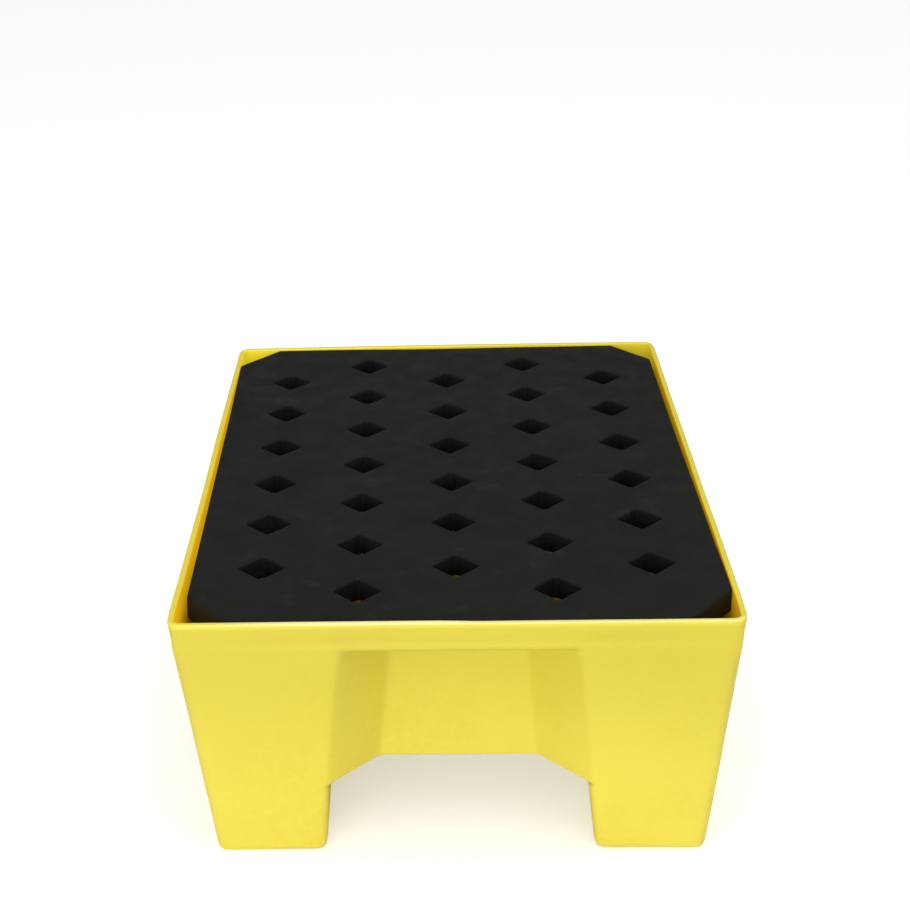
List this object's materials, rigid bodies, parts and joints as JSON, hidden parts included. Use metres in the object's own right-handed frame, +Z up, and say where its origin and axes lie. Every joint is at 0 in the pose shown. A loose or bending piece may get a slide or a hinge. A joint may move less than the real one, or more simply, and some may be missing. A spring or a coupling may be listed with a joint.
{
  "type": "spill containment pallet",
  "caption": "Small moulded spill pallet: rectangular open sump on four hollow tapered legs, with recessed splayed walls and a lift-out perforated deck.",
  "frame": {"origin": "centre of the footprint, on the floor", "axes": "+X along the short side, +Y along the long side, +Z up"},
  "size_m": [0.61, 0.8, 0.31],
  "materials": {
    "sump_polyethylene": "satin moulded polyethylene with a faint mottle",
    "deck_polyethylene": "matt moulded polyethylene, lightly scuffed"
  },
  "bodies": {
    "sump": {"sump_body": "sump_polyethylene"},
    "deck": {"deck": "deck_polyethylene"}
  },
  "joints": [
    {"name": "deck_lift", "type": "slide", "parent": "sump", "child": "deck", "axis": [0, 0, 1], "range_m": [0, 0.15]}
  ]
}
